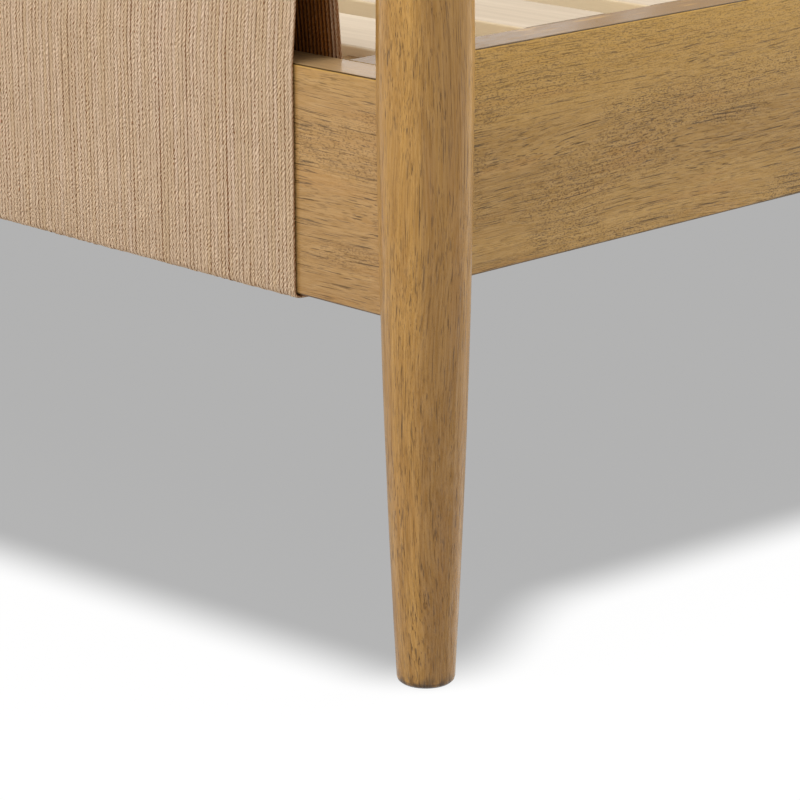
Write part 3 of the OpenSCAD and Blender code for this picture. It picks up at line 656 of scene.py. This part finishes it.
# %% The section of the winding
CORD_WIDE = 3.75 * MM  # across the cord, along the rail
CORD_THICK = 3.0 * MM  # the cord is pulled flat on the rails
SEAT = 0.1 * MM  # gap between the cord and the rails
EDGE_R = 2 * MM  # radius of the rails' eased edges
TOP_R = 8 * MM  # radius of the top rails' upper edges
SKEW = 6.4 * MM  # how far a turn's inner side lies from its outer side, along the rail
OUTER_SHORT = 4.0 * MM  # from the CAD winding's end to that of the outer side, at the seen corner
UNDER = 2  # points of a turn that lie under the bottom rail, at its end


def arc(y, z, radius, start, end, count):
    """count points of a circle about (y, z) from one angle to another, in degrees."""
    t = np.radians(np.linspace(start, end, count))
    return np.stack([y + radius * np.cos(t), z + radius * np.sin(t)], 1)


def between(a, b, count):
    """count points spread evenly on the stretch from a to b, without its ends."""
    t = np.arange(1, count + 1)[:, None] / (count + 1)
    return np.asarray(a) + (np.asarray(b) - np.asarray(a)) * t


def turn_section(half, low, high, top_half, top_low, top_high):
    """The cord's middle line in one turn, as (y, z) from the rails' mid plane, y towards the bed.

    It starts at the inner lower edge of the bottom rail and ends under that rail. Every point lies
    half a cord's thickness and the seat outside the rails. Inner and outer half mirror each other.
    """
    out = SEAT + CORD_THICK / 2
    knee, hip = (half + out, low + EDGE_R), (half + out, high - EDGE_R)
    neck = (top_half + out, top_low + EDGE_R)
    inner = np.vstack([
        arc(half - EDGE_R, low + EDGE_R, EDGE_R + out, -90, 0, 4), between(knee, hip, 2), [hip],
        between(hip, neck, 2), [neck], arc(top_half - TOP_R, top_high - TOP_R, TOP_R + out, 0, 90, 4)])
    outer = inner[::-1] * (-1, 1)
    return np.vstack([inner, outer, between((EDGE_R - half, low - out), (half - EDGE_R, low - out), UNDER)])


# %% [markdown]
# On the real bed no gap between turns is like the next, and a few stand open as dark seams. Random
# gaps, smoothed along each turn, are added up from one end of the rail to the other to give each
# turn its place, and what they leave is shared out as the width of the cord. The outward direction
# at each point of a turn is the tangent turned by a right angle.

# %% The places of the turns
SEAM_SHARE = 0.20  # of the turns stand open on one side
SEAM_WIDE = (0.08 * MM, 0.30 * MM)
SEAM_REACH = (4, 12)  # points of a turn over which a seam closes
LOOSE = 0.05 * MM  # the small gaps of all turns
TIGHT = 0.45  # share of the gaps that is left at the middle of the rail, where the turns lie tightest


def outward(section):
    """Unit vectors square to the closed section, pointing away from the rails."""
    step = np.roll(section, -1, 0) - np.roll(section, 1, 0)
    normal = np.stack([step[:, 1], -step[:, 0]], 1)
    return normal / np.linalg.norm(normal, axis=1, keepdims=True)


def turn_places(rng, turns, points, half_width):
    """x of each turn at each point of the section, the cord's width there, and the gap after it.

    gap = small noise + a few seams, each a bell curve round the section, times
    TIGHT + (1 - TIGHT) |s|^3 for s from -1 to 1 along the rail. The widths are what the gaps leave:
    w = (2 half_width - sum of the gaps) / turns, and x = half_width - sum before - w / 2.
    """
    small = rng.random((turns, points))
    small = (small + np.roll(small, 1, 1) + np.roll(small, -1, 1)) / 3 * LOOSE
    seam = (rng.random(turns) < SEAM_SHARE) * rng.uniform(*SEAM_WIDE, turns)
    middle = rng.uniform(0, points, (turns, 1))
    reach = rng.uniform(*SEAM_REACH, (turns, 1))
    apart = np.abs(np.arange(points) - middle)
    apart = np.minimum(apart, points - apart)
    along = np.abs(np.linspace(-1, 1, turns))[:, None]
    gap = (small + seam[:, None] * np.exp(-(apart / reach) ** 2)) * (TIGHT + (1 - TIGHT) * along ** 3)
    gap[-1] = 0
    width = (2 * half_width - gap.sum(0)) / turns
    before = np.vstack([np.zeros(points), np.cumsum(gap + width, 0)[:-1]])
    return half_width - before - width / 2, np.broadcast_to(width, (turns, points)), gap


# %% [markdown]
# The cord itself is a ring of points at each place. On its path p, with x along the rail and n
# outwards, a ring is p + x (w / 2) s + n (d / 2) c, where w is the cord's width and d its
# thickness. Here s and c are the sine and the cosine of an angle round the cord, each raised to a
# power under 1 without losing its sign. That makes the round section squarer, as pulled cord is.
# The ring's angles lie closer together on the side that shows.

# %% The winding of one end
RING = np.radians([0, 32, 64, 90, 180, 270, 296, 328])
PRESSED = (0.28, 0.42)  # the powers of s and c: 1 is round, less is squarer
PROUD = 0.025 * CORD_THICK  # how unevenly the turns stand out, as a standard deviation
PROUD_MOST = (-0.15 * MM, 0.2 * MM)
LIGHT_REACH = 5 * MM  # how far light reaches between the two layers from their open end, lifting the inside's painted shade


def winding(name, end, seed):
    """The whole cord of the foot (end -1) or the head (end 1) as one tube.

    A turn's x is its place + SKEW / 2 times its y over the largest y, so its inner side, where y
    is positive, lies nearer the right end of the rail. On the last points of a turn x goes over,
    in even steps, to that of the next turn. Three attributes are for the material's painted light
    and shade: rim is 1 on the edge of each open end, towards the rails, on the outer side (y < 0),
    where a shadow gap between cord and rail is painted. The second is 1 at the open ends and fades
    as exp(-(distance / reach)^2), where reach is how far light gets in between the layers: there
    the painted shade of the inside is lifted. seam is the gap beside a flank over the widest, and
    it is painted as dark shade.
    """
    prefix = "foot" if end < 0 else "head"
    rail_low, rail_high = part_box(prefix + "_bottom_rail")
    top_low, top_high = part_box(prefix + "_top_rail")
    half_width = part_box(prefix + "_cord_turns")[1].x + SKEW / 2 - OUTER_SHORT
    axis_y = (rail_low.y + rail_high.y) / 2
    half, top_half = (rail_high.y - rail_low.y) / 2, (top_high.y - top_low.y) / 2
    section = turn_section(half, rail_low.z, rail_high.z, top_half, top_low.z, top_high.z)
    normal = outward(section)
    points = len(section)
    turns = round(2 * half_width / CORD_WIDE)
    rng = np.random.default_rng(seed)
    x, width, gap = turn_places(rng, turns, points, half_width)
    after = np.vstack([x[1:], x[-1:] - CORD_WIDE])
    step = np.arange(1, UNDER + 1) / (UNDER + 1)
    x = np.hstack([x[:, :-UNDER], x[:, -UNDER:] * (1 - step) + after[:, -UNDER:] * step])
    x = x + SKEW / 2 * section[:, 0] / section[:, 0].max()
    proud = np.clip(PROUD * rng.standard_normal((turns, points)), *PROUD_MOST)

    path = np.zeros((turns, points, 3))
    path[..., 0] = x
    path[..., 1:] = section + normal * proud[..., None]
    outer = np.concatenate([np.zeros((points, 1)), normal], 1)
    side, height = (np.sign(wave) * np.abs(wave) ** power
                    for wave, power in zip((np.sin(RING), np.cos(RING)), PRESSED))
    grid = (path[:, :, None, :]
            + width[:, :, None, None] / 2 * side[:, None] * np.array([1.0, 0, 0])
            + (CORD_THICK / 2 + proud[..., None, None]) * height[:, None] * outer[None, :, None, :])
    grid[..., 1] = axis_y - end * grid[..., 1]
    line = path.reshape(-1, 3)
    length = np.concatenate([[0], np.cumsum(np.linalg.norm(np.diff(line, axis=0), axis=1))])
    print(name, "is", round(float(length[-1]), 1), "m of cord in", turns, "turns")
    around = np.append(RING, 2 * np.pi) / (2 * np.pi)
    piece = tube_mesh(name, grid.reshape(turns * points, len(RING), 3), length, around, end > 0)
    first = np.arange(turns)[:, None, None] == 0
    last = np.arange(turns)[:, None, None] == turns - 1
    sides = first * (np.sin(RING) > 0) + last * (np.sin(RING) < 0)
    # Where the shadow gap between the end cord and the rail is painted.
    rim = sides * (np.cos(RING) < 0) * (section[:, 0] < 0)[:, None]
    # 1 at the open ends, where light reaches in and the painted shade of the inside is lifted.
    bare = np.exp(-((half_width - np.abs(x)) / LIGHT_REACH) ** 2)[:, :, None] * np.ones(len(RING))
    before = np.vstack([gap[:1] * 0, gap[:-1]])
    # The gap beside each flank, which the material also paints as dark seam shade.
    seam = (before[:, :, None] * (side > 0.5) + gap[:, :, None] * (side < -0.5)) / SEAM_WIDE[1]
    for attribute, values in (("rim", rim), ("lit_from_end", bare), ("seam", seam)):
        layer = piece.data.attributes.new(attribute, "FLOAT", "POINT")
        layer.data.foreach_set("value", values.astype(np.float32).ravel())
    return piece


# %% [markdown]
# ## Paper cord
# The cord is kraft paper, folded and twisted. The hollows between its strands and folds go round
# it as slanting marks: with u in metres along the cord and v from 0 to 1 round it, a hollow lies
# where HOLLOWS (u / LAY + v) is a whole number. They are worn on the flat crest. The hollows, the
# flanks, the grooves between two turns and the sides towards the rails are painted darker as
# painted shade, and the hollows break the painted groove shade into dark dashes. Where a seam
# stands open the groove is painted dark all along. The side that faces into the end, between the
# two layers, is painted dark brown as painted shade, except near the open end of the winding,
# where light reaches in. Along the edge of each open end, by the rails, lies a painted shadow.
# The mesh brings three attributes for that.

# %% Cord material
HOLLOWS = 9  # round the cord, between its strands and at the folds of the paper
LAY = 35 * MM  # length in which a hollow goes once round, drawn long, as the crest has a sixth of v
# The flank colour paints the fine flecks and shade in the hollows and on the flanks; the groove colour is
# painted shade.
CORD_LIGHT, CORD_TAN, CORD_FLANK, CORD_GROOVE_SHADE = "#EBCFB2", "#DEC09B", "#A0672C", "#8C5014"
# Painted shade between the two layers and in its grooves, and the painted shadow at the open ends' rim.
INSIDE_SHADE, INSIDE_GROOVE_SHADE, RIM_SHADOW = "#9A5A18", "#4A2204", "#2A1508"


def cord_space(tree, length, rounds):
    """The place (u / length, v rounds) on the cord, where v is an angle, so it goes round a circle."""
    part = add(tree, "SeparateXYZ", {}, {0: add(tree, "UVMap", {"uv_map": "lay"}).outputs[0]})
    along = weighed(tree, (part.outputs[0], 1 / length))
    angle = weighed(tree, (part.outputs[1], 2 * math.pi))
    sine = weighed(tree, (add(tree, "Math", {"operation": "SINE"}, {0: angle}).outputs[0], rounds))
    cosine = weighed(tree, (add(tree, "Math", {"operation": "COSINE"}, {0: angle}).outputs[0], rounds))
    return add(tree, "CombineXYZ", {}, {0: along, 1: sine, 2: cosine}).outputs[0], part, cosine


def cord_noise(tree, length, rounds, low, high, detail=2):
    """Noise on the cord with features of one length in metres, as 0 below low and 1 above high."""
    space = cord_space(tree, length, rounds)[0]
    noise = add(tree, "TexNoise", {}, {"Vector": space, "Scale": 1, "Detail": detail})
    return add(tree, "MapRange", SOFT,
               {"Value": noise.outputs[0], "From Min": low, "From Max": high}).outputs[0]


def strand_hollows(tree, part):
    """1 in a hollow and 0 on a strand's back, by |sin(pi HOLLOWS (u / LAY + v) + wobble)|."""
    wobble = cord_noise(tree, 13 * MM, 0.6, 0.2, 0.8)
    phase = weighed(tree, (part.outputs[0], math.pi * HOLLOWS / LAY),
                    (part.outputs[1], math.pi * HOLLOWS), (wobble, 4.0))
    wave = add(tree, "Math", {"operation": "SINE"}, {0: phase}).outputs[0]
    back = add(tree, "Math", {"operation": "ABSOLUTE"}, {0: wave}).outputs[0]
    worn = weighed(tree, (cord_noise(tree, 11 * MM, 0.8, 0.34, 0.60), 0.50), (1.0, 0.50))
    return add(tree, "MapRange", SOFT,
               {"Value": back, "From Min": 0.70, "From Max": 0.25, "To Max": worn}).outputs[0]


def twisted_paper_cord():
    """Matt tan cord, with upright = cos 2 pi v: 1 on the crest, 0 on the flanks, -1 on the rails.

    The colours go on from the crest to the depth: painted shade in the hollows, fine flecks,
    painted shade on the flank, in the groove between two turns and on its side, the painted shade of
    the inside with its own grooves, and the painted shadow at the rim.
    """
    material, tree = new_material("twisted_paper_cord")
    _, part, upright = cord_space(tree, 1, 1)
    hollow = strand_hollows(tree, part)
    fine = cord_noise(tree, 1.8 * MM, 1.4, 0.38, 0.62)
    crest = add(tree, "Math", {"operation": "ABSOLUTE"}, {0: upright}).outputs[0]
    flank = add(tree, "MapRange", SOFT, {"Value": crest, "From Min": 0.95, "From Max": 0.50}).outputs[0]
    lowered = weighed(tree, (crest, 1.0), (hollow, -0.06))
    valley = add(tree, "MapRange", SOFT, {"Value": lowered, "From Min": 0.97, "From Max": 0.72}).outputs[0]
    side = add(tree, "MapRange", SOFT, {"Value": crest, "From Min": 0.45, "From Max": 0.10}).outputs[0]
    long = cord_noise(tree, 90 * MM, 0.9, 0.38, 0.66)
    broken = weighed(tree, (hollow, 1.45), (fine, 0.45), (1.0, -0.22))
    here = weighed(tree, (long, 1.1), (1.0, 0.25))
    deep = add(tree, "Math", TIMES, {0: broken, 1: here})
    seam = add(tree, "Attribute", {"attribute_name": "seam"}).outputs["Fac"]
    dark = weighed(tree, (deep.outputs[0], 1.0), (seam, 1.0))
    groove = add(tree, "Math", {"operation": "MULTIPLY", "use_clamp": True},
                 {0: valley, 1: dark}).outputs[0]
    hidden = add(tree, "MapRange", SOFT, {"Value": upright, "From Min": 0.10, "From Max": -0.35}).outputs[0]
    lit_from_end = add(tree, "Attribute", {"attribute_name": "lit_from_end"}).outputs["Fac"]
    inside_unlit = weighed(tree, (lit_from_end, -0.6), (1.0, 1.0))
    inside = add(tree, "Math", TIMES, {0: hidden, 1: inside_unlit}).outputs[0]
    rim = add(tree, "Attribute", {"attribute_name": "rim"}).outputs["Fac"]

    colour = add(tree, "Mix", COLOURS,
                 {"Factor": cord_noise(tree, 240 * MM, 0.1, 0.3, 0.7, 3), "A": linear(CORD_TAN),
                  "B": linear(CORD_LIGHT)}).outputs["Result"]
    # Painted shade in the hollows, on the flanks, in the grooves and open seams, and on the sides towards the
    # rails; the fine flecks are the paper's own.
    colour = stain_over(tree, colour, hollow, 0.30, CORD_FLANK)
    colour = stain_over(tree, colour, fine, 0.10, CORD_FLANK)
    colour = stain_over(tree, colour, flank, 0.20, CORD_FLANK)
    colour = stain_over(tree, colour, groove, 1.0, CORD_GROOVE_SHADE)
    colour = stain_over(tree, colour, side, 0.45, CORD_GROOVE_SHADE)
    # Painted shade: the side between the two layers is dark brown, its grooves darker still, less so near the
    # open ends.
    colour = stain_over(tree, colour, inside, 0.95, INSIDE_SHADE)
    inner = add(tree, "Math", TIMES, {0: inside, 1: flank}).outputs[0]
    colour = stain_over(tree, colour, inner, 0.95, INSIDE_GROOVE_SHADE)
    # Painted shadow: the gap between the end cord and the rail.
    colour = stain_over(tree, colour, rim, 0.85, RIM_SHADOW)
    steep = weighed(tree, (flank, 0.25), (1.0, 0.75))
    notch = add(tree, "Math", TIMES, {0: hollow, 1: steep}).outputs[0]
    height = weighed(tree, (notch, -1.0), (fine, -0.12))
    bump = add(tree, "Bump", {}, {"Height": height, "Distance": 2.0 * MM, "Strength": 0.9})
    shader = add(tree, "BsdfPrincipled", {}, {
        "Base Color": colour, "Roughness": 0.85, "IOR": 1.4, "Specular IOR Level": 0.1,
        "Normal": bump.outputs[0]})
    show(tree, shader.outputs[0])
    return material


cord_paper = twisted_paper_cord()
for name, end, seed in (("foot_winding", -1, 5), ("head_winding", 1, 11)):
    piece = winding(name, end, seed)
    piece.data.materials.append(cord_paper)
    prefix = name.split("_")[0]
    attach(piece, "root")
    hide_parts(prefix + "_cord_wrap", prefix + "_cord_turns")

# %% [markdown]
# ## The straps under the slats
# Two bands of woven webbing run under the slats and hold them at their spacing. A band is a flat
# section with round edges, carried along the bed. It lies against each slat, sags a little between
# two slats, and is pressed in under the head of each screw.

# %% The straps
STRAP_ROUND = 0.5 * MM  # radius of the band's edges
STRAP_SAG = 1.5 * MM  # between two slats
PRESS_DEEP, PRESS_WIDE = 0.35 * MM, 5 * MM  # of the hollow round a screw
STRAP_STEP = 3 * MM  # between two rows of points


def band_section(width, thick, count):
    """Points round a flat band, as (across, up): x = a |cos t|^p and z = b |sin t|^0.5, with their
    signs, where a and b are half its width and thickness. p = 8 STRAP_ROUND / width, so the faces
    are flat and the edges round.
    """
    t = np.linspace(0, 2 * np.pi, count, endpoint=False)
    x = np.sign(np.cos(t)) * np.abs(np.cos(t)) ** (STRAP_ROUND / width * 8) * width / 2
    z = np.sign(np.sin(t)) * np.abs(np.sin(t)) ** 0.5 * thick / 2
    return np.stack([x, z], 1)


def webbing_strap(name, node):
    """A band under all the slats: up = -sag sin^2 between slats, and thinner round each screw."""
    low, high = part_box(node)
    middles = np.array([sum(corner.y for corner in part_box(slat)) / 2 for slat in slats])
    pitch = middles[1] - middles[0]
    slat_half = (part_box(slats[0])[1].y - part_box(slats[0])[0].y) / 2
    thick = high.z - low.z
    rows = round((high.y - low.y) / STRAP_STEP) + 1
    y = np.linspace(low.y, high.y, rows)
    from_slat = np.abs((y - middles[0] + pitch / 2) % pitch - pitch / 2)
    open_part = np.clip((from_slat - slat_half) / (pitch / 2 - slat_half), 0, 1)
    sag = STRAP_SAG * np.sin(np.pi / 2 * open_part) ** 2
    section = band_section(high.x - low.x, thick, 20)
    grid = np.zeros((rows, len(section), 3))
    grid[..., 0] = (low.x + high.x) / 2 + section[:, 0]
    grid[..., 1] = y[:, None]
    apart = np.hypot(from_slat[:, None], section[:, 0])
    press = PRESS_DEEP * np.exp(-(apart / PRESS_WIDE) ** 2) * (section[:, 1] < 0)
    grid[..., 2] = (low.z + high.z) / 2 + section[:, 1] + press - sag[:, None]
    edge = np.linalg.norm(np.diff(np.vstack([section, section[:1]]), axis=0), axis=1)
    length = np.concatenate([[0], np.cumsum(np.hypot(np.diff(y), np.diff(sag)))])
    print(name, "is", round(float(length[-1]), 3), "m long")
    return tube_mesh(name, grid, length, np.concatenate([[0], np.cumsum(edge)]), True), float(length[-1])


# %% [markdown]
# ## Webbing
# The webbing is polypropylene, woven plain: ribs across the band, 1.6 mm apart, that lengthwise
# threads 1.2 mm wide go over and under. A thread is a crest of |sin|, and the two sets take turns.
# The hollows between the crests are painted darker, as painted shade.

# %% Webbing material
RIB, THREAD = 1.6 * MM, 1.2 * MM
WEB_LIGHT, WEB_HOLLOW_SHADE = "#D9D4C8", "#ABA596"


def woven_webbing():
    """Off-white webbing: height = |sin(pi u / rib)| |sin(pi v / thread)| on the band's own map,
    with painted shade that darkens its hollows.
    """
    material, tree = new_material("woven_polypropylene_webbing")
    part = add(tree, "SeparateXYZ", {}, {0: add(tree, "UVMap", {"uv_map": "lay"}).outputs[0]})
    crest = 1.0
    for socket, pitch in ((part.outputs[0], RIB), (part.outputs[1], THREAD)):
        wave = add(tree, "Math", {"operation": "SINE"}, {0: weighed(tree, (socket, math.pi / pitch))})
        rise = add(tree, "Math", {"operation": "ABSOLUTE"}, {0: wave.outputs[0]}).outputs[0]
        crest = add(tree, "Math", TIMES, {0: rise, 1: crest}).outputs[0]
    # Painted shade: the colour darkens from the crests into the weave's hollows.
    colour = add(tree, "Mix", COLOURS, {"Factor": crest, "A": linear(WEB_HOLLOW_SHADE), "B": linear(WEB_LIGHT)})
    bump = add(tree, "Bump", {}, {"Height": crest, "Distance": 0.3 * MM, "Strength": 0.8})
    shader = add(tree, "BsdfPrincipled", {}, {
        "Base Color": colour.outputs["Result"], "Roughness": 0.7, "IOR": 1.49,
        "Normal": bump.outputs[0]})
    show(tree, shader.outputs[0])
    return material


webbing = woven_webbing()
for side in ("left", "right"):
    strap, strap_long = webbing_strap(side + "_webbing", "slat_strap_" + side)
    strap.data.materials.append(webbing)
    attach(strap, "root")
    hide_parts("slat_strap_" + side)
